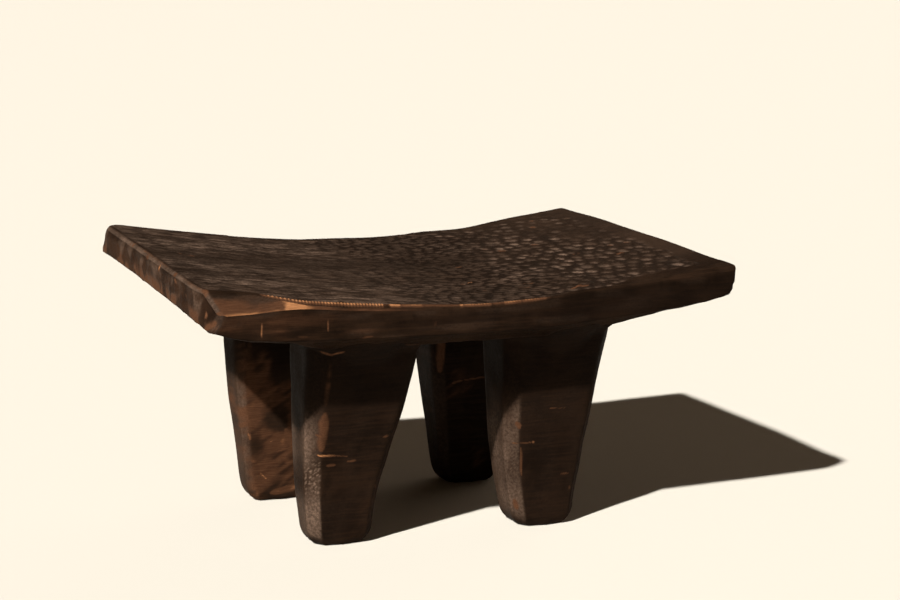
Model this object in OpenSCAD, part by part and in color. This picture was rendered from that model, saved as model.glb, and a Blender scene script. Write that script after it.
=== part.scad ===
// Low four-legged headrest stool, cut from one block of dense dark hardwood.
// The block is modelled as the seat slab and the four legs that were left standing under it.
// Frame: the origin is on the ground under the middle of the seat, +X runs along the
// seat's length, -Y is the front and +Z is up. All sizes are in millimetres.

/* [Seat] */
// Length of the seat along its front edge
seat_front_l = 512; // [496:1:530]
// Length of the seat along its back edge
seat_back_l = 490; // [470:1:496]
// Width of the seat from front to back
seat_w = 310; // [300:1:330]
// Height of the dish at the back corners, before the ends are bevelled
corner_h = 257; // [252:1:266]
// Depth of the dish between the raised ends
dish_depth = 25; // [18:1:28]
// How far the top falls from the back edge to the front edge
top_fall = 4; // [1:0.5:6]
// Height of the seat's lower front and back edges, between the legs
edge_low_h = 202; // [198:1:206]
// Height of the lower edge at the seat's two ends
tip_low_h = 219; // [216:1:224]

/* [Bevels] */
// Width of the bevel round the underside, along the front and the back
under_bevel_w = 30; // [20:1:34]
// Width of the bevel along the top of each end
end_bevel_w = 7; // [4:0.5:8]
// Drop of the top's front edge at its left corner
left_corner_drop = 16; // [12:0.5:20]
// Drop of the top's front edge at its right corner
right_corner_drop = 9; // [8.5:0.5:12]

/* [Legs] */
// Height of the legs, from the ground to the belly of the seat
leg_h = 187; // [180:1:194]
// Distance from the centre line to a leg's inner side at its top
leg_top_in = 44; // [38:1:52]
// Distance from the centre line to a leg's outer side at its top
leg_top_out = 152; // [144:1:156]
// Distance from the centre line to a foot's inner side
foot_in = 72; // [64:1:80]
// Distance from the centre line to a foot's outer side
foot_out = 133; // [126:1:140]
// Distance from the middle of the width to a leg's inward face at its top
leg_top_y_in = 47; // [40:1:52]
// Distance from the middle of the width to a leg's outward face at its top
leg_top_y_out = 123; // [118:1:125]
// Distance from the middle of the width to a foot's inward face
foot_y_in = 50; // [44:1:56]
// Distance from the middle of the width to a foot's outward face
foot_y_out = 91; // [84:1:98]
// Width of the flat cut off each upright corner of a leg
leg_corner = 11; // [6:0.5:16]

/* [Hidden] */
$fn = 128;
half_w = seat_w / 2;
half_back_l = seat_back_l / 2;
half_front_l = seat_front_l / 2;
// The dish is a cylinder that rises by dish_depth from the middle to the end of the back edge
dish_r = (pow(half_back_l, 2) + pow(dish_depth, 2)) / (2 * dish_depth);
dish_tilt = atan(top_fall / seat_w);
dish_low_h = corner_h - dish_depth;
front_low_h = dish_low_h - top_fall;
front_tip_h = front_low_h + dish_depth;
// The ends of the seat run slightly inward towards the back
end_skew = atan((half_front_l - half_back_l) / seat_w);
// The underside runs out level from each leg's root, with a round fillet in the corner
root_x = leg_top_out + 3;
root_fillet = 9;
shelf_h = 205;
// The block before the dish is cut out of its top
block_h = corner_h + 12;
// The corner bevels start this far above the middle of the front edge, clear of the dish
corner_lift = 2;
foot_bevel = 5;
flank_steps = 8;
cutter = 700;
wood = [0.17, 0.12, 0.09];

function mix(a, b, t) = a + (b - a) * t;
// Eases from 0 to 1 with no slope at either end
function ease(t) = t * t * (3 - 2 * t);
function mirrored(points) = [for (i = [len(points) - 1 : -1 : 0]) [-points[i].x, points[i].y]];
// One flank of a leg, drawn upward from the foot to the top
function flank(foot, top) =
    [for (i = [0 : flank_steps]) [mix(foot, top, ease(i / flank_steps)), leg_h * i / flank_steps]];
function backwards(points) = [for (i = [len(points) - 1 : -1 : 0]) points[i]];
// Quarter round in the corner between a leg's root and the underside of the seat's end
function root_round() =
    [for (a = [180 : -15 : 90]) [root_x + root_fillet * (1 + cos(a)), shelf_h - root_fillet * (1 - sin(a))]];

// Draws an X-Z outline through the whole width
module across_width(points) {
    rotate([90, 0, 0])
        linear_extrude(height = cutter, center = true)
            polygon(points);
}

// Draws a Y-Z outline through the whole length
module along_length(points) {
    rotate([90, 0, 90])
        linear_extrude(height = cutter, center = true)
            polygon(points);
}

module seat_plan() {
    linear_extrude(height = block_h)
        polygon([
            [-half_front_l, -half_w], [half_front_l, -half_w],
            [half_back_l, half_w], [-half_back_l, half_w]
        ]);
}

// Side view of the block: belly between the legs, shelves out to the two ends
module end_outline() {
    right_side = concat(
        [[leg_top_out, leg_h]], root_round(),
        [[half_front_l + 1, tip_low_h], [half_front_l + 1, block_h + 1]]);
    across_width(concat(mirrored(right_side), right_side));
}

// End view of the block: belly in the middle, bevelled up to the thin front and back edges
module width_outline() {
    belly_y = half_w - under_bevel_w;
    along_length([
        [-half_w - 1, block_h + 1], [-half_w - 1, edge_low_h], [-belly_y, leg_h],
        [belly_y, leg_h], [half_w + 1, edge_low_h], [half_w + 1, block_h + 1]
    ]);
}

module dish() {
    translate([0, half_w, dish_low_h + dish_r])
        rotate([90 + dish_tilt, 0, 0])
            cylinder(r = dish_r, h = cutter, center = true, $fn = 256);
}

// Bevel along the top of one end; side is -1 on the left and 1 on the right
module end_bevel(side) {
    translate([side * half_front_l, -half_w, front_tip_h - end_bevel_w])
        rotate([dish_tilt, 0, side * end_skew])
            rotate([0, -side * 45, 0])
                translate([side * cutter / 2, 0, 0])
                    cube([cutter, 2 * cutter, 2 * cutter], center = true);
}

// Sloping cut that lets the front edge of the top fall away towards one corner
module corner_bevel(side, drop) {
    start_h = front_low_h + corner_lift;
    rise = front_tip_h - drop - start_h;
    translate([0, -half_w, start_h])
        rotate([0, -side * atan(rise / half_front_l), 0])
            rotate([45, 0, 0])
                translate([side * cutter / 2, 0, cutter / 2])
                    cube([cutter, cutter, cutter], center = true);
}

module seat() {
    color(wood)
        difference() {
            intersection() {
                seat_plan();
                end_outline();
                width_outline();
            }
            dish();
            end_bevel(-1);
            end_bevel(1);
            corner_bevel(-1, left_corner_drop);
            corner_bevel(1, right_corner_drop);
        }
}

// Outline of a leg seen square-on, between an inner and an outer flank
function leg_outline(foot_a, foot_b, top_a, top_b) =
    concat(
        [[foot_b - foot_bevel, 0]], [for (p = flank(foot_b, top_b)) if (p.y > foot_bevel) p],
        backwards([for (p = flank(foot_a, top_a)) if (p.y > foot_bevel) p]), [[foot_a + foot_bevel, 0]]);

// Cuts the upright corners: a square-on prism turned to the leg's diagonal
module corner_flats(turn) {
    middle_foot = [(foot_in + foot_out) / 2, (foot_y_in + foot_y_out) / 2];
    middle_top = [(leg_top_in + leg_top_out) / 2, (leg_top_y_in + leg_top_y_out) / 2];
    axis = [cos(turn), sin(turn)];
    half_foot = reach(foot_out - foot_in, foot_y_out - foot_y_in);
    half_top = reach(leg_top_out - leg_top_in, leg_top_y_out - leg_top_y_in);
    rotate([0, 0, turn])
        across_width([
            [middle_foot * axis - half_foot, 0], [middle_foot * axis + half_foot, 0],
            [middle_top * axis + half_top, leg_h], [middle_top * axis - half_top, leg_h]
        ]);
}

// Half width of a rectangle across its diagonal, less the flat cut off its corner
function reach(a, b) = (a + b) / 2 / sqrt(2) - leg_corner / 2;

// The rear right leg; the other three are its mirror images
module leg() {
    intersection() {
        across_width(leg_outline(foot_in, foot_out, leg_top_in, leg_top_out));
        along_length(leg_outline(foot_y_in, foot_y_out, leg_top_y_in, leg_top_y_out));
        corner_flats(45);
        corner_flats(-45);
    }
}

module leg_rear_right() { color(wood) leg(); }
module leg_rear_left() { color(wood) mirror([1, 0, 0]) leg(); }
module leg_front_right() { color(wood) mirror([0, 1, 0]) leg(); }
module leg_front_left() { color(wood) mirror([1, 0, 0]) mirror([0, 1, 0]) leg(); }

seat();
leg_front_left();
leg_front_right();
leg_rear_left();
leg_rear_right();
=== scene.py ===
"""The looks of a low four-legged headrest stool, carved from one block of dark wood.

The shapes are worked out in millimetres, in the CAD frame, and new_piece() turns them into metres.
-Y is the front, +X the right-hand end and +Z is up.
"""

import math
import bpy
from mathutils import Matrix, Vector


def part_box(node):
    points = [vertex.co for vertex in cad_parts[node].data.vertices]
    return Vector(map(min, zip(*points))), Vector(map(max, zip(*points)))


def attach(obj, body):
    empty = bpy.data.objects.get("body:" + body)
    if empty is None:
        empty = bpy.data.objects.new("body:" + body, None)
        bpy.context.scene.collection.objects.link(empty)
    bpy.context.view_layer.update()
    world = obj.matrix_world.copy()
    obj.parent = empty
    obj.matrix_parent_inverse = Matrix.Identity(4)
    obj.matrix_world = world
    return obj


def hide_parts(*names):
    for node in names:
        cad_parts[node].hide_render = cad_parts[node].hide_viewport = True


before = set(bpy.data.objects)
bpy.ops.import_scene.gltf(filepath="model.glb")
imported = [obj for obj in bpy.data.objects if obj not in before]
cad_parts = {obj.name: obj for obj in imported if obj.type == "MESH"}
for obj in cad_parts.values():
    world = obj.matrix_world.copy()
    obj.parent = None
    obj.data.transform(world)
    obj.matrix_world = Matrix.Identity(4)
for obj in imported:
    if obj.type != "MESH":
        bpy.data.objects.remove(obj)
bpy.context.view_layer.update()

from types import SimpleNamespace

import bpy
import numpy as np
from mathutils import Matrix, Vector

MM = 0.001

# ---------------- sizes from the frame
_, seat_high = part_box("seat")
_, leg_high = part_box("leg_rear_right")
HALF_LENGTH = seat_high[0] / MM
HALF_WIDTH = seat_high[1] / MM
BELLY = leg_high[2] / MM

# ---------------- sizes of the carving, mm
WIDTH = 2 * HALF_WIDTH
LEFT_FRONT, LEFT_BACK = 257.0, 252.0    # from the middle to the left end, at the front and at the back
RIGHT_FRONT, RIGHT_BACK = 256.0, 245.0  # the same for the right end
BEVEL_FRONT, BEVEL_BACK = 3.0, 4.5      # width of the bevel along the left end, likewise
DISH_FRONT, DISH_BACK = 227.4, 231.0    # lowest points of the dish along the front and back edges
RISE_FRONT, RISE_BACK = 21.8, 24.6      # how much higher its ends are
EDGE_ROUND = 2.2                        # how far the arrises are worn round
COARSE = 3                              # the underside's grid is three times as coarse as the top's
SIDE_ROWS = 20                          # rows up the edge of the slab
UNDER_ROWS = (1.2, 2.6, 4.4, 6.8, 9.6)  # distances in from the edge of the extra rows underneath
UNDER_INSET = 12.8                      # distance in from the edge where the underside's grid starts
BOX_DEPTH = 28.0                        # height of the plain box that is bent into the slab
BEAD_PITCH = 2.9                        # from bead to bead of the knife's track
# Knife cuts along the front arris, wide at the left corner: (x, how far the arris drops) and (x, how far
# the cut reaches in)
FRONT_DROP = ((-256, 17.5), (-220, 12.4), (-194, 7.7), (-176, 5.2), (-120, 5.2), (-60, 4.0), (45, 3.2),
              (78, 0.4), (140, 0.4), (195, 2.3), (217, 4), (256, 5.5))
FRONT_INSET = ((-256, 27), (-219, 30), (-206, 27), (-196, 19), (-185, 11.5), (-174, 5.5), (-120, 5.0),
               (50, 4.0), (80, 1.5), (150, 2), (210, 7), (256, 4))
# Height of the slab's lower front arris, (x, height)
FRONT_LOW = ((-256, 217.5), (-246, 213), (-229, 209.5), (-185, 206), (-134, 204), (-60, 202.5), (20, 202.2),
             (80, 203.5), (155, 209.5), (215, 215.5), (256, 221))


# ---------------- small helpers
def mix(a, b, t):
    """a where t is 0, b where t is 1, and in between elsewhere."""
    return a + (b - a) * t


def smooth(x, low, high):
    """0 below low, 1 above high, with a soft start and end."""
    t = np.clip((x - low) / (high - low), 0, 1)
    return t * t * (3 - 2 * t)


def bump(x, centre, reach):
    """A soft hump: 1 at the centre, falling to 0.37 at reach from it."""
    return np.exp(-(((x - centre) / reach) ** 2))


def soft_min(a, b, blend):
    """The lower of a and b, rounded over where they cross within blend of each other."""
    t = np.clip(0.5 + 0.5 * (b - a) / blend, 0, 1)
    return mix(b, a, t) - blend * t * (1 - t)


def soft_max(a, b, blend):
    return -soft_min(-a, -b, blend)


def along(z, stops):
    """A smooth line through given (height, value) stops."""
    heights, values = zip(*stops)
    return sum(np.interp(z + d, heights, values) for d in (-10, -5, 0, 5, 10)) / 5


def chance(i, j, k, seed):
    """A repeatable number from 0 to 1 for each whole-number place (i, j, k)."""
    i, j, k = (np.asarray(n).astype(np.int64) for n in (i, j, k))
    h = (i * 73856093) ^ (j * 19349663) ^ (k * 83492791) ^ (seed * 40503 + 977)
    h = (h & 0xFFFFFFFF) * 2654435761 & 0xFFFFFFFF
    h = (h ^ (h >> 15)) * 2246822519 & 0xFFFFFFFF
    h = (h ^ (h >> 13)) * 3266489917 & 0xFFFFFFFF
    return (h ^ (h >> 16)) / 4294967295.0


def noise(p, size, seed):
    """Smooth noise from -1 to 1 at points p, with features about size across (one size, or one per axis)."""
    q = p / np.asarray(size, float)
    cell = np.floor(q).astype(np.int64)
    f = q - cell
    f = f * f * f * (f * (f * 6 - 15) + 10)
    total = 0
    for dx in (0, 1):
        for dy in (0, 1):
            for dz in (0, 1):
                weight = 1
                for axis, d in enumerate((dx, dy, dz)):
                    weight = weight * (f[:, axis] if d else 1 - f[:, axis])
                total = total + weight * chance(cell[:, 0] + dx, cell[:, 1] + dy, cell[:, 2] + dz, seed)
    return total * 2 - 1


def scoops(u, v, length, width, seed, overlap=1.35, lean=0.35):
    """Overlapping scoops left by a blade on the plane (u, v).

    Returns the depth, up to about 1, and a tint from 0 to 1 that each scoop has to itself.
    """
    middle_row = np.floor(v / width)
    deepest = np.full(u.shape, -9.0)
    tint = np.zeros(u.shape)
    for row_step in (-1, 0, 1):
        row = middle_row + row_step
        stagger = chance(row, 0, 7, seed)
        middle_column = np.floor(u / length + stagger)
        for column_step in (-1, 0, 1):
            column = middle_column + column_step
            slide, drift, twist, growth = (chance(column, row, n, seed) for n in range(4))
            du = u - (column + 0.5 + 0.45 * (slide - 0.5) - stagger) * length
            dv = v - (row + 0.5 + 0.5 * (drift - 0.5)) * width
            turn = lean * (2 * twist - 1)
            size = overlap * (0.78 + 0.44 * growth)
            x = (du * np.cos(turn) + dv * np.sin(turn)) / (0.5 * length * size)
            y = (dv * np.cos(turn) - du * np.sin(turn)) / (0.5 * width * size)
            depth = (0.75 + 0.25 * twist) * (1 - (x + 0.18 * x * x) ** 2 - y * y)
            tint = np.where(depth > deepest, chance(column, row, 5, seed), tint)
            deepest = np.maximum(deepest, depth)
    return deepest, tint


# ---------------- mesh making
def surface_normals(points, faces):
    """Area-weighted normals for a mesh whose faces are rows of 4 corners (a triangle repeats its last)."""
    a, b, c, d = (points[faces[:, n]] for n in range(4))
    across = np.cross(c - a, d - b)
    flat = faces[:, 2] == faces[:, 3]
    across[flat] = np.cross(b[flat] - a[flat], c[flat] - a[flat])
    normals = np.zeros_like(points)
    for n in range(4):
        for axis in range(3):
            normals[:, axis] += np.bincount(faces[:, n], across[:, axis], len(points))
    return normals / np.maximum(np.linalg.norm(normals, axis=1, keepdims=True), 1e-9)


def neighbour_mean(values, faces, passes=1):
    """Each vertex's value averaged with those it shares an edge with."""
    ends = np.concatenate([faces[:, [0, 1]], faces[:, [1, 2]], faces[:, [2, 3]], faces[:, [3, 0]]])
    ends = ends[ends[:, 0] != ends[:, 1]]
    count = np.bincount(ends[:, 0], minlength=len(values)) + np.bincount(ends[:, 1], minlength=len(values))
    for _ in range(passes):
        columns = []
        for column in np.atleast_2d(values.T):
            there = np.bincount(ends[:, 0], column[ends[:, 1]], len(column))
            back = np.bincount(ends[:, 1], column[ends[:, 0]], len(column))
            columns.append((there + back) / np.maximum(count, 1))
        values = np.array(columns).T if values.ndim == 2 else columns[0]
    return values


def sharpness(points, normals, faces, passes):
    """Above 0 on ridges and arrises, below 0 in hollows; in mm that the vertex stands proud."""
    proud = ((points - neighbour_mean(points, faces)) * normals).sum(1)
    return neighbour_mean(proud, faces, passes)


def new_piece(name, points, faces, marks, node, material):
    """A closed mesh from points in mm, in place of a CAD node.

    marks are numbers from 0 to 1 at each point that the material reads: wear is bare wood, pale is dust with
    some painted sheen, and dark is soot, other darkening and painted shade.
    """
    corners = [[int(n) for n in (f if f[2] != f[3] else f[:3])] for f in faces]
    mesh = bpy.data.meshes.new(name)
    mesh.from_pydata((points * MM).tolist(), [], corners)
    for mark, values in marks.items():
        mesh.attributes.new(mark, "FLOAT", "POINT").data.foreach_set("value", np.clip(values, 0, 1))
    mesh.polygons.foreach_set("use_smooth", [True] * len(mesh.polygons))
    mesh.materials.append(material)
    mesh.update()
    piece = bpy.data.objects.new(name, mesh)
    bpy.context.scene.collection.objects.link(piece)
    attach(piece, "root")
    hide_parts(node)
    return piece


# ---------------- the slab's shape
def share_back(y):
    """0 at the front edge and 1 at the back edge."""
    return (y + HALF_WIDTH) / WIDTH


def half_length(x, y):
    """Distance from the middle to the slab's end on the side that x is on."""
    t = share_back(y)
    left = mix(LEFT_FRONT, LEFT_BACK, t)
    right = mix(RIGHT_FRONT, RIGHT_BACK, t) + 2.0 * bump(y, -140, 18) + 3.8 * bump(y, -30, 75)
    return np.where(x < 0, left, right)


def left_lean(y):
    """How far the top of the left end leans in, towards the front corner."""
    return 10.0 * smooth(-y, 105, 158)


def end_distance(x, y, leaning):
    """Distance in from the slab's end, or from the leaning top of the left end where leaning is true."""
    return half_length(x, y) - np.abs(x) - np.where((x < 0) & leaning, left_lean(y), 0)


def bow(s):
    """The dish's side view: 0 in the middle and 1 at the ends, straighter towards the ends."""
    def lift(a):
        return (a * a + 0.01) ** 0.73

    return (lift(s) - lift(0)) / (lift(1) - lift(0))


def dish(x, y):
    """The smooth top, before bevels and tool marks."""
    t = share_back(y)
    s = x / mix(RIGHT_FRONT, RIGHT_BACK, t)
    height = mix(DISH_FRONT, DISH_BACK, t) + mix(RISE_FRONT, RISE_BACK, t) * bow(s) + mix(0.8, -1.7, t) * s
    # The edges wander, as hand-cut edges do
    wander = 1.4 * bump(x, -8, 34) - 2.2 * bump(x, 128, 28) - 0.8 * bump(x, -92, 30)
    height = height + wander * t * t + 1.8 * bump(x, 100, 26) * (1 - t) ** 3
    return height + 2.0 * bump(y, 75, 45) * smooth(x, 170, 250)


def top_height(x, y):
    """The top with its bevels: the knife cut along the front and a narrow cut along each end."""
    t = share_back(y)
    from_front = y + HALF_WIDTH
    from_end = end_distance(x, y, True)
    height = dish(x, y)
    drop, inset = along(x, FRONT_DROP), along(x, FRONT_INSET)
    height = soft_min(height, height - drop * (1 - from_front / inset), 0.7)
    left_bevel = height - 3.6 * (1 - from_end / mix(BEVEL_FRONT, BEVEL_BACK, t))
    right_bevel = height - 1.5 * (1 - from_end / 3)
    return soft_min(height, np.where(x < 0, left_bevel, right_bevel), 1.6)


def lower_edge(x, y):
    """Height of the slab's lower arris, carried across the width."""
    t = share_back(y)
    s = np.abs(x) / half_length(x, y)
    front = along(x, FRONT_LOW)
    back = 204.5 + np.where(x < 0, 27, 24) * s**3
    return mix(back, front, (1 - np.clip(t, 0, 1)) ** (1 + 0.8 * s * s))


def under_height(x, y):
    """The underside: bevelled in from the long edges to a belly between the legs."""
    edge = lower_edge(x, y)
    from_edge = np.maximum(HALF_WIDTH - np.abs(y), 0)
    shelf = edge - 4 * smooth(end_distance(x, y, False), 0, 60)
    belly = mix(BELLY, shelf, smooth(np.abs(x), 128, 188))
    return soft_max(edge - 0.5 * from_edge, belly, 3.0)


def round_corner(x, y, side_x, side_y, radius):
    """Turns one square corner of the plan into a round one."""
    out_x = np.maximum(x * side_x - HALF_LENGTH + radius, 1e-6)
    out_y = np.maximum(y * side_y - HALF_WIDTH + radius, 1e-6)
    both = (out_x > 1e-5) & (out_y > 1e-5)
    shrink = np.where(both, np.maximum(out_x, out_y) / np.hypot(out_x, out_y), 1)
    x = np.where(both, side_x * (HALF_LENGTH - radius + out_x * shrink), x)
    y = np.where(both, side_y * (HALF_WIDTH - radius + out_y * shrink), y)
    return x, y


def slab_point(a, b, c):
    """Turns places in a plain box into places on the slab.

    a goes along the box, b across it, and c from 0 at the bottom to 1 at the top.
    """
    place = np.stack([a, b, c * BOX_DEPTH], 1)
    low = np.array([-HALF_LENGTH, -HALF_WIDTH, 0.0])
    high = np.array([HALF_LENGTH, HALF_WIDTH, BOX_DEPTH])
    ragged = noise(place * [1, 1, 0.3], 38, 11)
    # Some arrises at the ends are worn rounder than the rest
    near_end = smooth(np.abs(a), HALF_LENGTH - 16, HALF_LENGTH)
    near_front = 1 - smooth(b, -HALF_WIDTH + 10, -HALF_WIDTH + 60)
    low_right = near_end * (1 - smooth(c, 0.3, 0.55)) * (a > 0)
    high_left = near_end * smooth(c, 0.4, 0.7) * (a < 0) * smooth(b, -HALF_WIDTH, HALF_WIDTH)
    low_left = near_end * (1 - smooth(c, 0.2, 0.5)) * (a < 0) * near_front
    worn = (EDGE_ROUND + 0.7 * ragged + 6.5 * low_right + 2.0 * low_left + 4.2 * high_left)[:, None]
    core = np.clip(place, low + worn, high - worn)
    out = place - core
    place = core + worn * out / np.maximum(np.linalg.norm(out, axis=1, keepdims=True), 1e-9)
    x, y = place[:, 0], place[:, 1]
    c = place[:, 2] / BOX_DEPTH
    corners = ((-1, -1, mix(8.5, 8, c)), (-1, 1, mix(8, 24, c)), (1, -1, mix(6, 3, c)), (1, 1, 5))
    for side_x, side_y, radius in corners:
        x, y = round_corner(x, y, side_x, side_y, radius)
    x = x / HALF_LENGTH * half_length(x, y)
    lowest = under_height(x, y)
    x = x + c * left_lean(y) * smooth(-x, 200, 256)
    z = mix(lowest, top_height(x, y), c)
    return np.stack([x, y, z], 1)


def graded(low, high, spacing):
    """Places from low to high, spacing(place) apart, with a number of gaps that COARSE divides."""
    places = np.linspace(low, high, 4000)
    count = np.concatenate([[0], np.cumsum(np.diff(places) / spacing(places[:-1]))])
    gaps = COARSE * round(count[-1] / COARSE)
    return np.interp(np.linspace(0, count[-1], gaps + 1), count, places)


def grid(xs, ys, height, first):
    """Points of a flat grid in the plain box, and their vertex numbers, counted up from first."""
    i, j = np.meshgrid(np.arange(len(xs)), np.arange(len(ys)), indexing="ij")
    points = np.stack([xs[i].ravel(), ys[j].ravel(), np.full(i.size, height)], 1)
    return points, first + i * len(ys) + j


def grid_faces(ids):
    """The four-cornered faces of a grid of vertex numbers, facing up."""
    corners = (ids[:-1, :-1], ids[1:, :-1], ids[1:, 1:], ids[:-1, 1:])
    return np.stack(corners, -1).reshape(-1, 4)


def rim(ids):
    """The vertex numbers once round the rim of a grid, and their columns and rows."""
    columns, rows = ids.shape[0] - 1, ids.shape[1] - 1
    there_x, back_x = np.arange(columns), np.arange(columns, 0, -1)
    there_y, back_y = np.arange(rows), np.arange(rows, 0, -1)
    rim_i = np.concatenate([there_x, np.full(rows, columns), back_x, np.zeros(rows, int)])
    rim_j = np.concatenate([np.zeros(columns, int), there_y, np.full(columns, rows), back_y])
    return ids[rim_i, rim_j], rim_i, rim_j


def slab_mesh():
    """Points, faces and the number of points on the top, of a closed box-like grid, finer on top."""
    # Finest where the beads are cut along the front arris
    xs = graded(-HALF_LENGTH, HALF_LENGTH, lambda x: mix(0.6, 1.15, smooth(np.abs(x + 140), 60, 85)))
    ys = graded(-HALF_WIDTH, HALF_WIDTH, lambda y: mix(0.75, 1.5, smooth(HALF_WIDTH - np.abs(y), 4, 22)))
    top_points, top_ids = grid(xs, ys, 1.0, 0)
    parts, faces = [top_points], [grid_faces(top_ids)]

    # Rows down the edge of the slab and in under it, each one a ring of points joined to the ring before
    ring, ring_i, ring_j = rim(top_ids)
    total = top_ids.size
    heights = [0.5 + 0.5 * math.cos(math.pi * row / SIDE_ROWS) for row in range(1, SIDE_ROWS + 1)]
    rows = [(0.0, height) for height in heights] + [(inset, 0.0) for inset in UNDER_ROWS]
    for inset, height in rows:
        ring_x = xs[ring_i] * (1 - inset / HALF_LENGTH)
        ring_y = ys[ring_j] * (1 - inset / HALF_WIDTH)
        parts.append(np.stack([ring_x, ring_y, np.full(len(ring), height)], 1))
        below = total + np.arange(len(ring))
        total += len(ring)
        faces.append(np.stack([ring, below, np.roll(below, -1), np.roll(ring, -1)], 1))
        ring = below

    low_xs = xs[::COARSE] * (1 - UNDER_INSET / HALF_LENGTH)
    low_ys = ys[::COARSE] * (1 - UNDER_INSET / HALF_WIDTH)
    low_points, low_ids = grid(low_xs, low_ys, 0.0, total)
    parts.append(low_points)
    # Underneath, the corners of a face go round the other way, so that it faces down
    faces.append(grid_faces(low_ids)[:, [0, 3, 2, 1]])
    # Three gaps of the last ring meet each gap of the underside's rim
    near, _, _ = rim(low_ids)
    nearer = np.roll(near, -1)
    f0, f1, f2 = (ring[n::COARSE] for n in range(COARSE))
    f3 = np.roll(f0, -1)
    faces.append(np.stack([f1, f0, near, near], 1))
    faces.append(np.stack([f2, f1, near, nearer], 1))
    faces.append(np.stack([f3, f2, nearer, nearer], 1))
    return np.concatenate(parts), np.concatenate(faces), top_ids.size


def scuffs(points, strokes, through):
    """The strongest of the straight rubs at each point, and 0 outside them all.

    strokes holds (start, end, half-width, strength). through is the axis that they are seen along: a rub
    reaches four times as far that way.
    """
    seen = np.ones(3)
    seen[through] = 0.25
    strongest = np.zeros(len(points))
    for start, end, width, strength in strokes:
        start, run = np.array(start, float), np.subtract(end, start).astype(float)
        share = np.clip((points - start) @ run / (run @ run), 0, 1)
        away = np.linalg.norm((points - start - share[:, None] * run) * seen, axis=1)
        away = away / (width * (1 - 0.5 * (2 * share - 1) ** 4))
        strongest = np.maximum(strongest, strength * (1 - smooth(away, 0.2, 1.1)))
    return strongest * (0.85 + 0.3 * noise(points, 5, 71))


# Cuts and rubs that show bare wood, in mm: (start, end, half-width, strength)
SEAT_FRONT_SCUFFS = (
    ((-210, -155, 212), (-210, -155, 223), 1.2, 1.0),
    ((-150, -155, 214), (-150.5, -155, 222), 1.0, 0.7),
    ((-50, -155, 211), (-49, -155, 215), 2.5, 0.2),
    ((-178, -155, 209), (-168, -155, 210), 1.6, 0.22),
    ((-118, -155, 205), (-108, -155, 206), 1.5, 0.2),
    ((95, -151, 199), (122, -151, 200), 1.6, 0.55),
)
SEAT_END_SCUFFS = (
    ((-254, -23, 246), (-253, -22, 250), 2.0, 1.0),
    ((-256, -137, 227), (-255, -137, 232), 1.8, 1.0),
    ((-253, -108, 241), (-252, -106, 245), 1.6, 0.8),
    ((-250, 58, 251), (-249, 60, 254), 1.6, 0.7),
    ((-253, -70, 244), (-253, -64, 246), 2.2, 0.45),
    ((-252, 10, 250), (-252, 16, 251), 2.2, 0.4),
    ((-254, -96, 236), (-254, -94, 239), 1.6, 0.5),
    ((-255, -151, 226), (-255, -142, 219), 5.0, 0.42),
    ((-255, -128, 220), (-255, -118, 221), 3.5, 0.34),
)
SEAT_TOP_SCUFFS = (
    ((158, -24, 240), (166, -23, 241), 1.8, 0.9),
    ((43, -4, 231), (50, -4, 231), 1.8, 0.55),
    ((23, -72, 229), (26, -72, 229), 1.5, 1.0),
    ((66, -97, 231), (76, -98, 231), 1.8, 0.6),
    ((56, -108, 230), (66, -110, 230), 1.8, 0.55),
    ((92, -139, 233), (108, -143, 234), 1.8, 0.4),
    ((190, -50, 244), (197, -51, 244), 2.4, 0.4),
    ((-218, 30, 248), (-206, 22, 247), 2.5, 0.35),
)
# Where the knife's track along the front arris shows bare wood: (from x, to x, strength)
TRACK_GLINTS = ((-204, -97, 0.78), (-92, -81, 0.95), (-81, -60, 0.46), (-60, -25, 0.15), (-25, -21, 0.95),
                (-21, 6, 0.52), (8, 18, 0.20), (18, 36, 0.58), (36, 60, 0.45))


def seat_places(points, normals, on_top):
    """What the carving and the marks have to know about each point of the plain slab."""
    x, y, z = points.T
    at = SimpleNamespace(x=x, y=y, z=z, on_top=on_top)
    at.from_front = y + HALF_WIDTH
    at.from_end = end_distance(x, y, on_top)
    at.inset = along(x, FRONT_INSET)
    at.left_border = mix(BEVEL_FRONT, BEVEL_BACK, share_back(y))
    # Rows of tool marks wander by this much
    at.swirl = 3.0 * noise(points, 45, 31)

    at.side = np.clip(1 - np.abs(normals[:, 2]), 0, 1) * ~on_top
    at.under = smooth(-normals[:, 2], 0.6, 0.9) * ~on_top
    at.endward = smooth(np.abs(normals[:, 0]), 0.25, 0.9)
    at.front = at.side * (1 - at.endward) * (y < 0)
    at.left_end = at.side * at.endward * (x < 0)
    at.low_down = 1 - smooth(z - lower_edge(x, y), 2, 14)

    # The two cuts that meet at the left corner: the narrow one along the end, the broad one along the front
    at.end_bevel = on_top * (x < 0) * (1 - smooth(at.from_end - at.left_border, -1, 1.5))
    bevel_fade = mix(-3.4, -11.0, smooth(-x, 206, 232))
    front_bevel = on_top * smooth(-x, 125, 150) * (1 - smooth(at.from_front - at.inset, bevel_fade, -2.0))
    at.front_bevel = front_bevel * (1 - 0.75 * at.end_bevel)

    # Stretches of the top made darker, with less dust and more of the dark mark
    hollow = bump(y, 22, 26) * (1 - smooth(x, 40, 130)) + bump(x, -228, 18) * bump(y, -45, 20)
    at.hollow = np.clip(hollow + 0.6 * bump(x, 20, 55), 0, 1)
    return at


def by_gouge(at, long, short, rounded):
    """A value for each kind of gouge mark, blended where one kind gives way to the next."""
    return mix(mix(long, short, at.to_middle), rounded, at.to_right)


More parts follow.
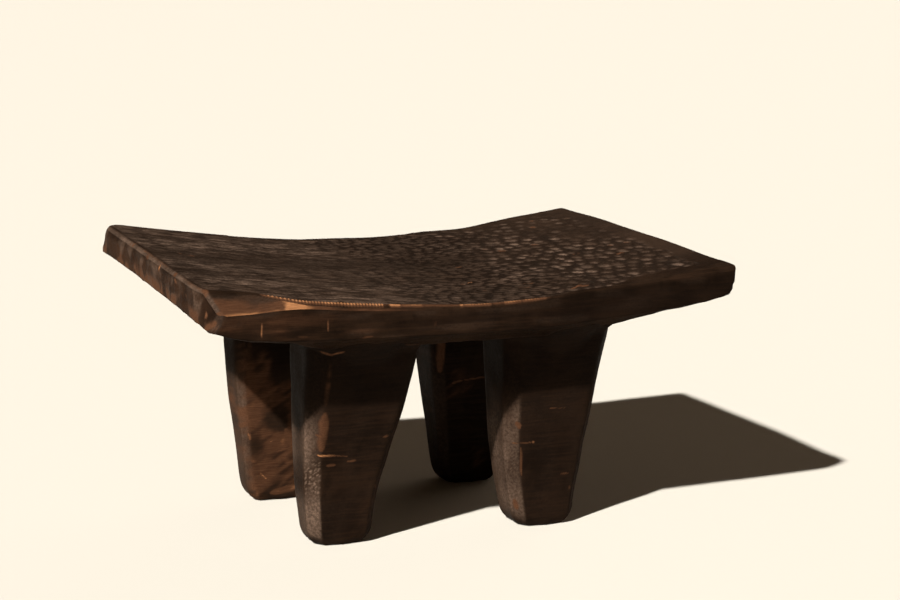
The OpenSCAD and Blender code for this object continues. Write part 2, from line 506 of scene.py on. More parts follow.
def cut_gouges(points, at):
    """Gouge marks over the top: long on the left, short in the middle and round on the right."""
    x, y, swirl = at.x, at.y, at.swirl
    # They stop short of the right end and of the bevels
    ragged = 5 * noise(points, 24, 21)
    plain_front = 16 * smooth(x, 120, 170)
    inside_front = smooth(at.from_front - at.inset - plain_front + ragged * 0.3, 0.5, 6)
    inside_back = smooth(HALF_WIDTH - y + ragged, 1, 7)
    inside_left = smooth(at.from_end - at.left_border + 0.4 * ragged, 0, 6)
    inside_right = smooth(at.from_end + 1.3 * ragged, 20, 30)
    at.inside = inside_front * inside_back * np.where(x > 0, inside_right, inside_left) * at.on_top

    long, long_tint = scoops(x + swirl, y + 0.10 * x - swirl, 30.0, 9.0, 4, overlap=1.25, lean=0.12)
    short, short_tint = scoops(x + swirl, y + 0.15 * x + swirl, 12.0, 7.5, 2, overlap=1.25, lean=0.3)
    rounded, rounded_tint = scoops(x + swirl, y + 0.25 * x + swirl, 12.5, 14.0, 3, overlap=1.12)
    at.to_middle = smooth(x + 30 * noise(points, 60, 33), -80, 0)
    at.to_right = smooth(x + 25 * noise(points, 45, 32), 55, 115)
    at.gouge = by_gouge(at, long, short, rounded)
    at.tint = by_gouge(at, long_tint, short_tint, rounded_tint)
    # The far right corner was hardly gouged
    at.busy = 1 - 0.75 * smooth(x + 0.8 * y + 18 * noise(points, 40, 34), 195, 255)
    strength = at.busy * mix(1.5, 2.3, at.to_right) * (0.85 + 0.4 * noise(points, 33, 35))

    at.streaks = noise(points, (15.0, 2.8, 9.0), 37)
    at.fine_streaks = noise(points, (8.0, 2.0, 6.0), 38)
    height = -at.inside * strength * (at.gouge - 0.45)
    return height + at.inside * mix(0.35, 0.2, at.to_right) * at.streaks


def cut_track(points, at, height):
    """Adds the beaded track of a serrated knife along the front arris, with a scored line on each side."""
    x = at.x
    beaded_left = smooth(x, -204, -196) * (1 - smooth(x, -97, -91))
    at.beaded = beaded_left + 0.6 * smooth(x, -22, -12) * (1 - smooth(x, 52, 62))
    at.beads = 0.5 + 0.5 * np.cos(2 * math.pi * (x + 0.6 * noise(points, 30, 41)) / BEAD_PITCH)
    track = smooth(x, -206, -196) * (1 - smooth(x, 58, 70)) * at.on_top
    past = at.from_front - at.inset - 0.2
    at.ridge = track * bump(past, 0, 1.7)
    height = height + at.ridge * mix(0.35, 0.2 + 0.45 * at.beads, at.beaded)
    height = height - track * bump(past, 2.6, 0.9) * 0.6
    return height - track * bump(past, -2.4, 0.9) * 0.4 * at.beaded


def cut_facets(points, at, height):
    """Adds knife facets round the slab's edge, adze facets underneath and a slow unevenness all over."""
    front_facets, _ = scoops(at.x + 2 * at.swirl, at.z * 1.3, 46, 17, 5, lean=0.12)
    end_facets, _ = scoops(at.y + at.swirl, at.z * 1.2, 24, 15, 6)
    adze_cuts, _ = scoops(at.x + 2 * at.swirl, at.y - at.swirl, 30, 21, 8, lean=0.6)
    height = height - at.side * mix(0.5 * front_facets, 0.9 * end_facets, at.endward)
    height = height - at.under * 0.9 * adze_cuts
    return height + (0.55 * noise(points, 62, 51) + 0.25 * noise(points, 27, 52))


def seat_cuts(points, at):
    """The single cuts and rubs of the seat, by strength."""
    on_front = scuffs(points, SEAT_FRONT_SCUFFS, 1) * (at.y < 0)
    on_end = scuffs(points, SEAT_END_SCUFFS, 0) * (at.x < 0)
    on_top = scuffs(points, SEAT_TOP_SCUFFS, 2) * at.on_top
    return np.maximum.reduce([on_front, on_end, on_top])


def seat_wear(points, faces, at, mottle, spots):
    """Bare wood on the arrises, the bevels, the knife's track, the front, the left end and the gouge cuts."""
    x = at.x
    arris = sharpness(points, surface_normals(points, faces), faces, 3)
    edge_distance = np.minimum(np.minimum(at.from_front, HALF_WIDTH - at.y), at.from_end)
    arris_wear = smooth(arris, 0.05, 0.2) * (edge_distance < 12) * 0.6

    # The knife cut along the front is barest where it is narrowest
    bare = smooth(x + 3 * noise(points, 6, 64), -193, -183) * (1 - smooth(x, -176, -150))
    lip = 1 - smooth(at.from_front, 0.5, 4)
    rubbed = mix(0.30, 0.17, smooth(at.from_front / at.inset, 0.1, 0.8))
    rubbed = rubbed + 0.12 * noise(points, (26, 7, 20), 62)
    bevel_wear = at.front_bevel * (rubbed + 0.68 * bare + 0.3 * lip * smooth(-x, 180, 200))
    lip_wear = 0.26 * at.on_top * lip * bump(x, -110, 45)

    glint = 0.20
    for start, end, share in TRACK_GLINTS:
        glint = glint + share * smooth(x, start - 1, start + 2) * (1 - smooth(x, end - 2, end + 1))
    track_wear = at.ridge * glint * mix(1, 0.55 + 0.6 * at.beads, at.beaded)

    front_wear = at.front * smooth(-x, 60, 170) * (0.05 + 0.12 * noise(points, (50, 20, 14), 67))
    stripes = smooth(noise(points, (40, 20, 4), 74), 0.0, 0.6)
    front_wear = front_wear + 0.09 * at.front * smooth(-x, -60, 40) * stripes
    end_wear = at.left_end * (0.3 * at.low_down * mottle + 0.12) + 0.4 * at.end_bevel * spots
    patches = smooth(noise(points, 50, 65), -0.1, 0.4)
    sparks = (at.tint > 0.93) * smooth(at.gouge, 0.6, 0.85) * patches * smooth(x, -20, 40)
    spark_wear = 0.34 * at.inside * sparks
    return np.maximum.reduce(
        [arris_wear, bevel_wear, lip_wear, track_wear, front_wear, end_wear, spark_wear])


def seat_dust_and_sheen(points, at, mottle):
    """Dust in the gouges, front bevel, left end and front; painted sheen thin on the plain border, and on the
    left bevel.
    """
    ovals = smooth(at.gouge, 0.55, 0.9) * mix(0.15, mix(1.1, 1.5, at.to_right), at.tint * at.tint)
    grainy = 0.40 + 0.40 * at.streaks + 0.40 * at.fine_streaks
    dust = mix(grainy, ovals, by_gouge(at, 0.15, 0.6, 0.92))
    clouds = (0.75 + 0.6 * noise(points, (110, 26, 60), 66)) * (1 - 0.75 * at.hollow)
    gouged = at.inside * (0.35 + 0.65 * at.busy) * (0.16 + 0.9 * dust * clouds)
    # Painted sheen: the plain border near the right end is made paler
    plain = 0.10 * at.on_top * (1 - at.inside) * smooth(at.x, 150, 200) * smooth(at.y, -140, -60)
    smudges = smooth(noise(points, (30, 20, 7), 75), 0.0, 0.5)
    # On the left end's bevel the pale is a painted highlight; on the end face it is dust
    dust = gouged + plain + at.end_bevel * (0.30 + 0.25 * mottle) + 0.42 * at.left_end * mottle
    return dust + 0.13 * at.front_bevel + 0.07 * at.front * smudges


def seat_darkening(points, at, patchy):
    """Darker on the ridges between gouge marks and in the darker stretches of the top; soot in clouds on the
    front and the end.
    """
    ridges = 1 - smooth(at.gouge, 0.35, 0.7)
    on_ridges = at.inside * at.busy * ridges * by_gouge(at, 0.55, 0.8, 0.65)
    clouds = 0.4 * smooth(noise(points, (60, 20, 8), 76), 0.0, 0.5)
    on_front = at.front * np.maximum(clouds, 0.55 * smooth(at.x, 0, 110))
    on_end = 0.8 * at.left_end * patchy * (1 - at.low_down)
    return np.maximum.reduce([on_ridges, 0.4 * at.hollow * at.inside, on_end, on_front])


def carve_seat(material):
    """The seat: tool marks cut into the plain slab along its normals, then the marks of wear on them."""
    box, faces, top_count = slab_mesh()
    plain = slab_point(box[:, 0], box[:, 1], box[:, 2])
    normals = surface_normals(plain, faces)
    at = seat_places(plain, normals, np.arange(len(plain)) < top_count)
    height = cut_gouges(plain, at)
    height = cut_track(plain, at, height)
    height = cut_facets(plain, at, height)
    cuts = seat_cuts(plain, at)
    points = plain + normals * (height - 0.3 * cuts)[:, None]

    stirred = points + 8 * noise(points, 12, 68)[:, None]
    mottle = smooth(noise(stirred, (20, 13, 20), 61) + 0.35 * noise(stirred, 6, 72), -0.2, 0.55)
    patchy = smooth(noise(stirred, (30, 17, 19), 63) + 0.3 * noise(stirred, 6, 73), -0.1, 0.35)
    spots = smooth(noise(stirred, 10, 69), 0.3, 0.6)
    marks = {
        "wear": np.maximum(seat_wear(points, faces, at, mottle, spots), cuts),
        "pale": seat_dust_and_sheen(points, at, mottle),
        "dark": seat_darkening(points, at, patchy),
    }
    return new_piece("carved_seat", points, faces, marks, "seat", material)


# ---------------- the legs' shape
# Each leg: the signs of X and Y on its side of the stool, the distances of its outer and inner sides from
# the middle, as (height, distance), then the cuts off its four upright corners, in LEG_CORNERS' order.
# The rest are the strengths of its marks: rust is rubbed red-brown wood, rasp is rasp marks on the front
# left corner flat, pale is dust on that flat and on the left face, and soot is on the front face.
LEGS = {
    "front_left": {
        "side": (-1, -1),
        "x_out": ((0, 131), (25, 136), (54, 140), (101, 144), (147, 146), (187, 148)),
        "x_in": ((0, 72), (40, 70.5), (55, 68.5), (74, 63), (91, 59), (122, 50), (148, 45), (187, 40)),
        "y_out": ((0, 90), (46, 98), (95, 105), (142, 112), (187, 120)),
        "y_in": ((0, 54), (60, 52), (187, 47)),
        "cuts": (12.5, 10, 9, 13),
        "rust": 0.08, "rasp": 1.0, "pale": (0.70, 0.35), "soot": 0.1,
    },
    "front_right": {
        "side": (1, -1),
        "x_out": ((0, 131), (36, 133.5), (55, 137), (75, 138), (105, 143), (140, 146.5), (172, 150.5),
                  (187, 153.5)),
        "x_in": ((0, 71), (25, 65), (50, 59), (84, 53), (133, 49), (187, 45)),
        "y_out": ((0, 98.5), (50, 102), (124, 110), (187, 119)),
        "y_in": ((0, 55), (60, 53), (187, 45)),
        "cuts": (11, 12, 11, 10),
        "rust": 0.05, "rasp": 0.25, "pale": (0.66, 0.42), "soot": 0.35,
    },
    "rear_left": {
        "side": (-1, 1),
        "x_out": ((0, 131), (14, 135), (43, 139), (91, 145), (125, 148), (187, 151)),
        "x_in": ((0, 66), (60, 61), (120, 51), (187, 46)),
        "y_out": ((0, 95), (60, 103), (120, 112), (187, 121)),
        "y_in": ((0, 58), (187, 59)),
        "cuts": (18, 10, 5, 7),
        "rust": 0.34, "rasp": 0.0, "pale": (0.55, 0.30), "soot": 0.0,
    },
    "rear_right": {
        "side": (1, 1),
        "x_out": ((0, 132), (60, 137), (120, 143), (187, 150)),
        "x_in": ((0, 69), (23, 65), (58, 61), (73, 59), (93, 56), (125, 52), (187, 47)),
        "y_out": ((0, 87), (60, 97), (120, 107), (187, 118)),
        "y_in": ((0, 53), (187, 46)),
        "cuts": (11, 10, 10, 12),
        "rust": 0.14, "rasp": 0.0, "pale": (0.12, 0.0), "soot": 0.3,
    },
}
AROUND = 216                            # points round a leg
SOLE, FOOT, UP, FLARE = 12, 9, 140, 16  # rings in the sole, the foot's rim, the leg and its flare
CORNER_POWER = 36                       # how crisp a leg's upright arrises are
SUNK = 16.0                             # how far a leg's hidden top reaches up into the slab
# The upright corners of a leg along X and Y: 1 is away from the stool's middle, -1 is towards it
LEG_CORNERS = ((1, 1), (-1, 1), (-1, -1), (1, -1))


def leg_reach(leg, z, angle):
    """Centre of the leg at height z, and how far its faceted side is from it in each direction."""
    sx, sy = leg["side"]
    x_out, x_in, y_out, y_in = (along(z, leg[key]) for key in ("x_out", "x_in", "y_out", "y_in"))
    half_x, half_y = (x_out - x_in) / 2, (y_out - y_in) / 2
    cosine, sine = np.cos(angle) * sx, np.sin(angle) * sy
    taper = mix(0.75, 1.1, np.clip(z / BELLY, 0, 1))
    total = (np.abs(cosine) / half_x) ** CORNER_POWER + (np.abs(sine) / half_y) ** CORNER_POWER
    for cut, (px, py) in zip(leg["cuts"], LEG_CORNERS):
        facing = np.maximum(cosine * px + sine * py, 1e-6)
        total = total + (facing / (half_x + half_y - cut * taper)) ** CORNER_POWER
    reach = total ** (-1 / CORNER_POWER)
    return sx * (x_out + x_in) / 2, sy * (y_out + y_in) / 2, reach


def closed_tube(rows, low_centre, high_centre):
    """Points and faces of a stack of rings, closed by a fan of triangles round each centre."""
    points = np.concatenate([np.stack(np.broadcast_arrays(*row), 1) for row in rows])
    ids = np.arange(len(points)).reshape(len(rows), AROUND)
    following = np.roll(ids, -1, 1)
    sides = np.stack([ids[:-1], following[:-1], following[1:], ids[1:]], -1).reshape(-1, 4)
    low_id, high_id = len(points), len(points) + 1
    low_fan = np.stack([np.full(AROUND, low_id), following[0], ids[0], ids[0]], 1)
    high_fan = np.stack([np.full(AROUND, high_id), ids[-1], following[-1], following[-1]], 1)
    return np.concatenate([points, [low_centre, high_centre]]), np.concatenate([sides, low_fan, high_fan])


def leg_mesh(leg):
    """Rings of points from the middle of the sole, up the leg, out along the flare and into the seat."""
    sx, sy = leg["side"]
    angle = np.arange(AROUND) * 2 * math.pi / AROUND
    outward_x, outward_y = np.cos(angle) * sx, np.sin(angle) * sy
    # The fillet under the seat is widest where the leg runs into the long bevel
    flare = 9 + 12 * smooth(outward_y, 0.75, 0.98) - 5.0 * smooth(outward_x, 0.5, 0.95)
    rows = []

    def row(z, outset):
        cx, cy, reach = leg_reach(leg, z, angle)
        return cx + (reach + outset) * np.cos(angle), cy + (reach + outset) * np.sin(angle)

    # The flare starts its own height below the underside, which slopes above the leg
    top_x, top_y = row(np.full(AROUND, BELLY - 6.0), 0)
    top = under_height(top_x, top_y) - flare
    foot_round = 4.0 + 8.0 * np.abs(outward_x) ** 1.5
    sole_x, sole_y = row(np.zeros(AROUND), -foot_round)
    middle_x, middle_y = sole_x.mean(), sole_y.mean()
    for n in range(1, SOLE + 1):
        share = n / SOLE
        rows.append((mix(middle_x, sole_x, share), mix(middle_y, sole_y, share), np.zeros(AROUND)))
    for n in range(1, FOOT + 1):
        turn = n / FOOT * math.pi / 2
        z = foot_round * 1.3 * (1 - math.cos(turn))
        x, y = row(z, foot_round * (math.sin(turn) - 1))
        rows.append((x, y, z))
    foot_top = rows[-1][2]
    for n in range(1, UP + 1):
        z = mix(foot_top, top, n / UP)
        x, y = row(z, 0)
        rows.append((x, y, z))
    for n in range(1, FLARE + 1):
        turn = n / FLARE * math.pi / 2
        x, y = row(top + flare * math.sin(turn), flare * (1 - math.cos(turn)))
        z = under_height(x, y) - flare * (1 - math.sin(turn)) + 0.6 * (n / FLARE) ** 4
        rows.append((x, y, z))
    # Two hidden rings inside the slab, the upper one drawn in to half its size
    x, y, z = rows[-1]
    rows.append((x, y, z + 3))
    x, y = (mix(values, values.mean(), 0.5) for values in (x, y))
    rows.append((x, y, np.full(AROUND, BELLY + SUNK)))
    return closed_tube(rows, (middle_x, middle_y, 0.0), (x.mean(), y.mean(), BELLY + SUNK))


# Rubs and cuts on the front of each leg, in mm: (start, end, half-width, strength)
LEG_SCUFFS = {
    "front_left": (
        ((-131, -107, 128), (-131.5, -104, 95), 6.2, 0.44),
        ((-136, -103, 108), (-132, -107, 107), 1.3, 0.9),
        ((-134, -102, 89), (-118, -104, 88), 1.3, 0.9),
        ((-118, -104, 88), (-106, -104, 86), 1.0, 0.35),
        ((-125, -103, 79), (-117, -103, 79), 2.2, 0.4),
        ((-106, -103, 81), (-97, -103, 82), 1.2, 0.5),
        ((-72, -106, 102), (-69, -106, 102), 1.8, 0.45),
        ((-76, -99, 56), (-74, -99, 52), 2.0, 0.3),
        ((-129, -120, 184), (-119, -120, 187), 1.5, 0.65),
        ((-140, -117, 186), (-130, -119, 183), 1.6, 0.45),
        ((-99, -119, 180), (-88, -118, 178), 1.2, 0.35),
        ((-131, -112, 178), (-131, -110, 136), 4.0, 0.2),
    ),
    "front_right": (
        ((61, -106, 104), (64, -106, 99), 3.2, 0.45),
        ((60, -102, 84), (77, -106, 84), 0.9, 0.7),
        ((78, -106, 84), (80, -106, 84), 1.7, 0.85),
        ((67, -105, 80), (70, -102, 52), 1.8, 0.35),
        ((68, -95, 27), (71, -96, 18), 3.0, 0.4),
        ((93, -109, 116), (109, -109, 115), 0.8, 0.35),
        ((111, -102, 50), (119, -102, 50), 0.9, 0.4),
        ((122, -101, 37), (122, -101, 34), 1.8, 0.35),
    ),
    "rear_left": (
        ((-114, 58, 58), (-106, 58, 62), 1.2, 0.85),
        ((-136, 60, 68), (-134, 59, 62), 1.5, 0.75),
        ((-133, 59, 42), (-129, 59, 40), 1.8, 0.5),
        ((-124, 58, 29), (-117, 58, 22), 1.3, 1.0),
        ((-103, 58, 11), (-97, 58, 13), 1.4, 0.7),
        ((-112, 58, 8), (-86, 58, 12), 4.5, 0.62),
        ((-126, 58, 12), (-126, 58, 6), 2.5, 0.5),
        ((-98, 58, 68), (-90, 58, 52), 7.0, 0.40),
        ((-121, 58, 96), (-120, 58, 84), 4.0, 0.30),
        ((-108, 58, 48), (-90, 58, 52), 1.5, 0.5),
        ((-100, 58, 40), (-92, 58, 36), 5.0, 0.28),
        ((-137, 62, 178), (-136, 61, 138), 4.0, 0.16),
    ),
    "rear_right": (
        ((57, 51, 172), (59, 52, 116), 5.0, 0.45),
        ((71, 49, 104), (82, 49, 106), 1.5, 0.7),
        ((82, 49, 106), (112, 49, 108), 0.9, 0.6),
        ((110, 48, 140), (110, 48, 128), 2.5, 0.4),
    ),
}


def leg_relief(points, normals, seed):
    """Knife facets and a slow unevenness down the free part of a leg, as a height in mm."""
    x, y, z = points.T
    free = smooth(z, 6, 48) * (1 - smooth(z, BELLY - 4, BELLY + 3))
    wander = 4 * noise(points, 40, seed)
    faces_x = smooth(np.abs(normals[:, 0]) - np.abs(normals[:, 1]), -0.3, 0.3)
    across = mix(x, y, faces_x)
    facets, _ = scoops(z * 0.9 + wander, across + wander, 44, 19, seed, lean=0.15)
    nibbles, _ = scoops(across + wander, z - wander, 17, 11, seed + 1, lean=0.5)
    height = -free * (0.2 * facets + 0.2 * nibbles * smooth(noise(points, 34, seed + 2), -0.2, 0.4))
    return height + free * (0.6 * noise(points, 58, seed + 3) + 0.3 * noise(points, 24, seed + 4))


def leg_marks(name, leg, seed, plain, points, faces):
    """Bare wood, dust, soot and painted shade on a leg; plain holds its points before they were carved."""
    x, y, z = plain.T
    normals = surface_normals(points, faces)
    arris = sharpness(points, normals, faces, 3)
    fine = sharpness(points, normals, faces, 1)
    corner_flat = smooth(-normals[:, 0] * 0.707 - normals[:, 1] * 0.707, 0.8, 0.97)
    left_face = smooth(-normals[:, 0], 0.8, 0.95)
    front_face = smooth(-normals[:, 1], 0.8, 0.95)
    stirred = points + 6 * noise(points, 28, seed + 10)[:, None]

    worn = smooth(arris, 0.04, 0.16) * smooth(noise(points, 26, seed + 5), -0.25, 0.45) * smooth(z, 4, 12)
    streaks = noise(np.stack([x + 0.6 * z, y, z - 0.6 * x], 1), (16, 16, 4), seed + 11)
    # The rust fades above 100 to 150 mm: painted shade where the seat's shadow falls
    rust = smooth(noise(stirred, 26, seed + 6), -0.8, 0.9) * (1 - 0.5 * smooth(z, 100, 150))
    rust = leg["rust"] * rust * (1 + 0.7 * streaks)
    rubs = scuffs(points, LEG_SCUFFS[name], 1) * (normals[:, 1] < 0.2)

    # Rasp marks show as slanting pale ticks, and the dust between them is thinner
    ticks, _ = scoops(z + 0.7 * (x - y), z - 0.7 * (x - y), 9.0, 3.4, seed + 8, overlap=0.85, lean=0.25)
    rasped = leg["rasp"] * bump(z, 66, 17) * smooth(noise(points, 11, seed + 9), -0.4, 0.2)
    pale_flat, pale_left = leg["pale"]
    cloudy = 0.5 + 0.5 * noise(stirred, (16, 16, 30), seed + 7)
    # Dust on the corner flat and the left face; it fades out above 95 to 140 mm as painted shade where the
    # seat's shadow falls
    dust = (pale_flat * corner_flat + pale_left * left_face) * (1 - smooth(z, 95, 140)) + 0.05
    dust = dust * cloudy * (1 - 0.6 * rasped) + 0.8 * rasped * corner_flat * smooth(ticks, 0.3, 0.7)

    # Painted shade: the upper leg, where the seat's shadow falls, is darkened
    painted_shade_top = 0.6 * smooth(z, 105, 150)
    # Painted shade in the hollows between the knife facets
    painted_crevice_shade = smooth(-fine, 0.0, 0.06) * 0.5
    return {
        "wear": np.maximum.reduce([0.32 * worn, rust, rubs]) * (z < BELLY + 4),
        "pale": dust,
        "dark": np.maximum.reduce([painted_crevice_shade, painted_shade_top, leg["soot"] * front_face]),
    }


def carve_leg(name, leg, seed, material):
    plain, faces = leg_mesh(leg)
    normals = surface_normals(plain, faces)
    points = plain + normals * leg_relief(plain, normals, seed)[:, None]
    # The sole stays flat on the ground
    points[:, 2] = np.maximum(points[:, 2], 0)
    marks = leg_marks(name, leg, seed, plain, points, faces)
    return new_piece("carved_leg_" + name, points, faces, marks, "leg_" + name, material)


# ---------------- material
# Colours of the wood, as linear red, green, blue and alpha
DARK_BROWN = (0.0074, 0.0041, 0.0025, 1)
BROWN = (0.0158, 0.0086, 0.0051, 1)
LIGHT_GRAIN = (0.0245, 0.0123, 0.0066, 1)
BLOTCH = (0.0045, 0.0025, 0.0015, 1)
DUST_AND_SHEEN = (0.130, 0.086, 0.062, 1)
SOOT_AND_SHADE = (0.0045, 0.0026, 0.0017, 1)
RED_BROWNS = ((0.0445, 0.0193, 0.0098, 1), (0.0710, 0.0323, 0.0168, 1))
ORANGES = ((0.180, 0.079, 0.034, 1), (0.330, 0.150, 0.065, 1))


class NodeKit:
    """Adds nodes to one material. A value is a number, a colour or the output of another node."""

    def __init__(self, material):
        self.nodes = material.node_tree.nodes
        self.links = material.node_tree.links
        self.place = self.nodes.new("ShaderNodeTexCoord").outputs["Object"]

    def feed(self, socket, value):
        if isinstance(value, bpy.types.NodeSocket):
            self.links.new(value, socket)
        else:
            socket.default_value = value

    def maths(self, operation, a, b):
        node = self.nodes.new("ShaderNodeMath")
        node.operation = operation
        self.feed(node.inputs[0], a)
        self.feed(node.inputs[1], b)
        return node.outputs[0]

    def ranged(self, value, low, high, to_low=0.0, to_high=1.0):
        """Goes from to_low to to_high, with a soft start and end, as the value goes from low to high."""
        node = self.nodes.new("ShaderNodeMapRange")
        node.interpolation_type = "SMOOTHSTEP"
        self.feed(node.inputs["Value"], value)
        limits = {"From Min": low, "From Max": high, "To Min": to_low, "To Max": to_high}
        for socket, number in limits.items():
            self.feed(node.inputs[socket], number)
        return node.outputs["Result"]

    def blend(self, factor, a, b):
        """Colour a where the factor is 0, colour b where it is 1."""
        node = self.nodes.new("ShaderNodeMix")
        node.data_type = "RGBA"
        self.feed(node.inputs["Factor"], factor)
        self.feed(node.inputs["A"], a)
        self.feed(node.inputs["B"], b)
        return node.outputs["Result"]

    def mark(self, name):
        """One of the marks that new_piece() puts on the mesh."""
        node = self.nodes.new("ShaderNodeAttribute")
        node.attribute_name = name
        return node.outputs["Fac"]

    def stretched(self, scale):
        """Places squeezed by a scale along each axis; what is squeezed less comes out longer."""
        node = self.nodes.new("ShaderNodeMapping")
        node.inputs["Scale"].default_value = scale
        self.links.new(self.place, node.inputs["Vector"])
        return node.outputs["Vector"]

    def cloud(self, vector, scale, detail=4.0, rough=0.55):
        node = self.nodes.new("ShaderNodeTexNoise")
        self.feed(node.inputs["Vector"], vector)
        node.inputs["Scale"].default_value = scale
        node.inputs["Detail"].default_value = detail
        node.inputs["Roughness"].default_value = rough
        return node.outputs["Fac"]

    def bump(self, height, strength, distance):
        node = self.nodes.new("ShaderNodeBump")
        node.inputs["Strength"].default_value = strength
        node.inputs["Distance"].default_value = distance
        self.links.new(height, node.inputs["Height"])
        return node.outputs["Normal"]


def build_wood():
    """Smoke-dark wood with its grain along X, rubbed to red-brown where hands and tools caught it."""
    material = bpy.data.materials.new("dark_wood")
    material.use_nodes = True
    shader = material.node_tree.nodes["Principled BSDF"]
    kit = NodeKit(material)
    patches = kit.cloud(kit.place, 22.0)
    blotches = kit.cloud(kit.place, 70.0, 5.0)
    grain = kit.cloud(kit.stretched((1.0, 14.0, 14.0)), 28.0, 6.0, 0.6)
    fibres = kit.cloud(kit.stretched((1.0, 22.0, 22.0)), 75.0, 3.0, 0.6)
    specks = kit.cloud(kit.place, 420.0, 2.0)
    wear, pale, dark = (kit.mark(name) for name in ("wear", "pale", "dark"))

    tone = kit.blend(kit.ranged(patches, 0.38, 0.66), DARK_BROWN, BROWN)
    tone = kit.blend(kit.ranged(grain, 0.42, 0.64, 0.0, 0.38), tone, LIGHT_GRAIN)
    tone = kit.blend(kit.ranged(blotches, 0.55, 0.72, 0.0, 0.5), tone, BLOTCH)
    grit = kit.ranged(specks, 0.32, 0.68, 0.50, 1.10)
    speckle = kit.maths("MULTIPLY", grit, kit.ranged(fibres, 0.35, 0.65, 0.72, 1.18))
    # The pale mark brings in dust, and painted sheen on parts of the seat's top
    tone = kit.blend(kit.maths("MULTIPLY", pale, speckle), tone, DUST_AND_SHEEN)
    # The dark mark brings in soot and other darkening, and painted shade on the legs' upper parts and creases
    tone = kit.blend(dark, tone, SOOT_AND_SHADE)
    # Light rubbing shows red-brown wood, a fresh cut shows orange
    rub = kit.maths("MULTIPLY", wear, kit.ranged(blotches, 0.36, 0.62, 0.7, 1.0))
    streak = kit.ranged(fibres, 0.35, 0.68)
    reddish = kit.blend(streak, *RED_BROWNS)
    orange = kit.blend(streak, *ORANGES)
    warm = kit.blend(kit.ranged(rub, 0.35, 0.85), reddish, orange)
    tone = kit.blend(kit.ranged(rub, 0.03, 0.30), tone, warm)
    kit.feed(shader.inputs["Base Color"], tone)

    roughness = kit.ranged(patches, 0.35, 0.7, 0.50, 0.64)
    roughness = kit.maths("ADD", roughness, kit.ranged(specks, 0.3, 0.7, -0.05, 0.06))
    kit.feed(shader.inputs["Roughness"], roughness)
    shader.inputs["Specular IOR Level"].default_value = 0.012

    relief = kit.maths("ADD", kit.maths("MULTIPLY", grain, 0.6), kit.maths("MULTIPLY", fibres, 0.35))
    relief = kit.maths("ADD", relief, kit.maths("MULTIPLY", specks, 0.16))
    kit.feed(shader.inputs["Normal"], kit.bump(relief, strength=0.55, distance=0.0007))
    return material


# ---------------- stage, lights and camera
STAGE = 12.0                            # metres from the middle of the floor to its edge
WALL_SIDES, WALL_HEIGHT = 48, 6.0       # its height in metres
CAMERA_PLACE = (-0.903, -1.897, 0.632)  # metres
CAMERA_TURN, CAMERA_DOWN, CAMERA_TILT = -26.45, 11.57, 2.17   # degrees


def stage_part(name, points, faces):
    """A part of the stage, in metres, with its own plain material."""
    material = bpy.data.materials.new("pale_" + name)
    material.use_nodes = True
    mesh = bpy.data.meshes.new(name)
    mesh.from_pydata(points, [], faces)
    mesh.materials.append(material)
    part = bpy.data.objects.new(name, mesh)
    bpy.context.scene.collection.objects.link(part)
    return part, material.node_tree.nodes["Principled BSDF"]


def build_floor():
    corners = [(-STAGE, -STAGE, 0), (STAGE, -STAGE, 0), (STAGE, STAGE, 0), (-STAGE, STAGE, 0)]
    _, shader = stage_part("floor", corners, [(0, 1, 2, 3)])
    shader.inputs["Base Color"].default_value = (0.58, 0.558, 0.505, 1)
    shader.inputs["Roughness"].default_value = 0.85
    shader.inputs["Specular IOR Level"].default_value = 0.1


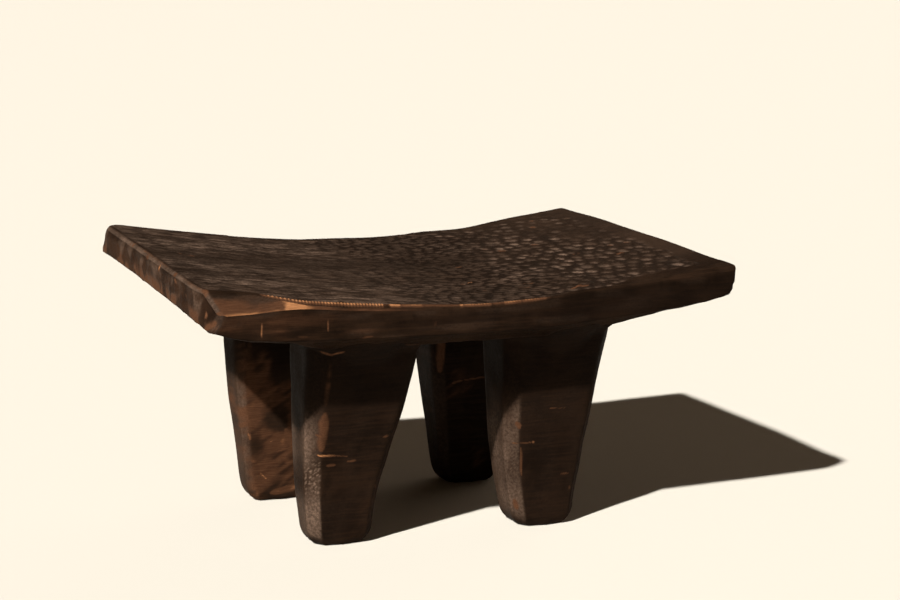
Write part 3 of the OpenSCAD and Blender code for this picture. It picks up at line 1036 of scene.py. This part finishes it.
def build_wall():
    """A far round wall as bright as the floor, seen only from low down. It lights and shades nothing."""
    turns = [2 * math.pi * n / WALL_SIDES for n in range(WALL_SIDES)]
    rings = [(STAGE * math.cos(turn), STAGE * math.sin(turn), z) for z in (0, WALL_HEIGHT) for turn in turns]
    panels = [(n, (n + 1) % WALL_SIDES, WALL_SIDES + (n + 1) % WALL_SIDES, WALL_SIDES + n)
              for n in range(WALL_SIDES)]
    wall, shader = stage_part("wall", rings, panels)
    shader.inputs["Base Color"].default_value = (0, 0, 0, 1)
    shader.inputs["Specular IOR Level"].default_value = 0
    shader.inputs["Emission Color"].default_value = (1.0, 0.93, 0.785, 1)
    shader.inputs["Emission Strength"].default_value = 1.0
    wall.visible_diffuse = False
    wall.visible_glossy = False
    wall.visible_shadow = False


def build_world():
    """A faint warm light from all round."""
    world = bpy.data.worlds.new("studio")
    world.use_nodes = True
    world.node_tree.nodes["Background"].inputs["Color"].default_value = (1.0, 0.68, 0.40, 1)
    world.node_tree.nodes["Background"].inputs["Strength"].default_value = 0.038
    bpy.context.scene.world = world
    bpy.context.scene.view_settings.view_transform = "Standard"


def add_sun(name, towards, strength, spread, colour):
    """A distant soft light from the given direction; a wide spread in degrees makes soft shadows."""
    light = bpy.data.lights.new(name, "SUN")
    light.energy = strength
    light.angle = math.radians(spread)
    light.color = colour
    lamp = bpy.data.objects.new(name, light)
    lamp.rotation_euler = Vector(towards).to_track_quat("Z", "Y").to_euler()
    bpy.context.scene.collection.objects.link(lamp)


def build_camera():
    """The photograph's view: from the front left, a little above the seat, with a long lens."""
    turn, down, tilt = (math.radians(angle) for angle in (CAMERA_TURN, CAMERA_DOWN, CAMERA_TILT))
    camera = bpy.data.cameras.new("camera")
    camera.lens = 92.0
    camera.sensor_width = 36.0
    camera.clip_end = 50.0
    holder = bpy.data.objects.new("camera", camera)
    level = Matrix.Rotation(turn, 4, "Z") @ Matrix.Rotation(math.pi / 2 - down, 4, "X")
    place = Matrix.Translation(CAMERA_PLACE)
    holder.matrix_world = place @ level @ Matrix.Rotation(tilt, 4, "Z")
    bpy.context.scene.collection.objects.link(holder)
    bpy.context.scene.camera = holder


build_camera()
build_floor()
build_wall()
build_world()
add_sun("key", towards=(-0.672, -0.405, 0.66), strength=8.3, spread=1.6, colour=(1.0, 0.96, 0.90))
add_sun("back_fill", towards=(0.85, 0.50, 0.20), strength=0.6, spread=50, colour=(1.0, 0.78, 0.60))

wood = build_wood()
carve_seat(wood)
for order, (leg_name, leg_sizes) in enumerate(LEGS.items()):
    carve_leg(leg_name, leg_sizes, 100 + 20 * order, wood)
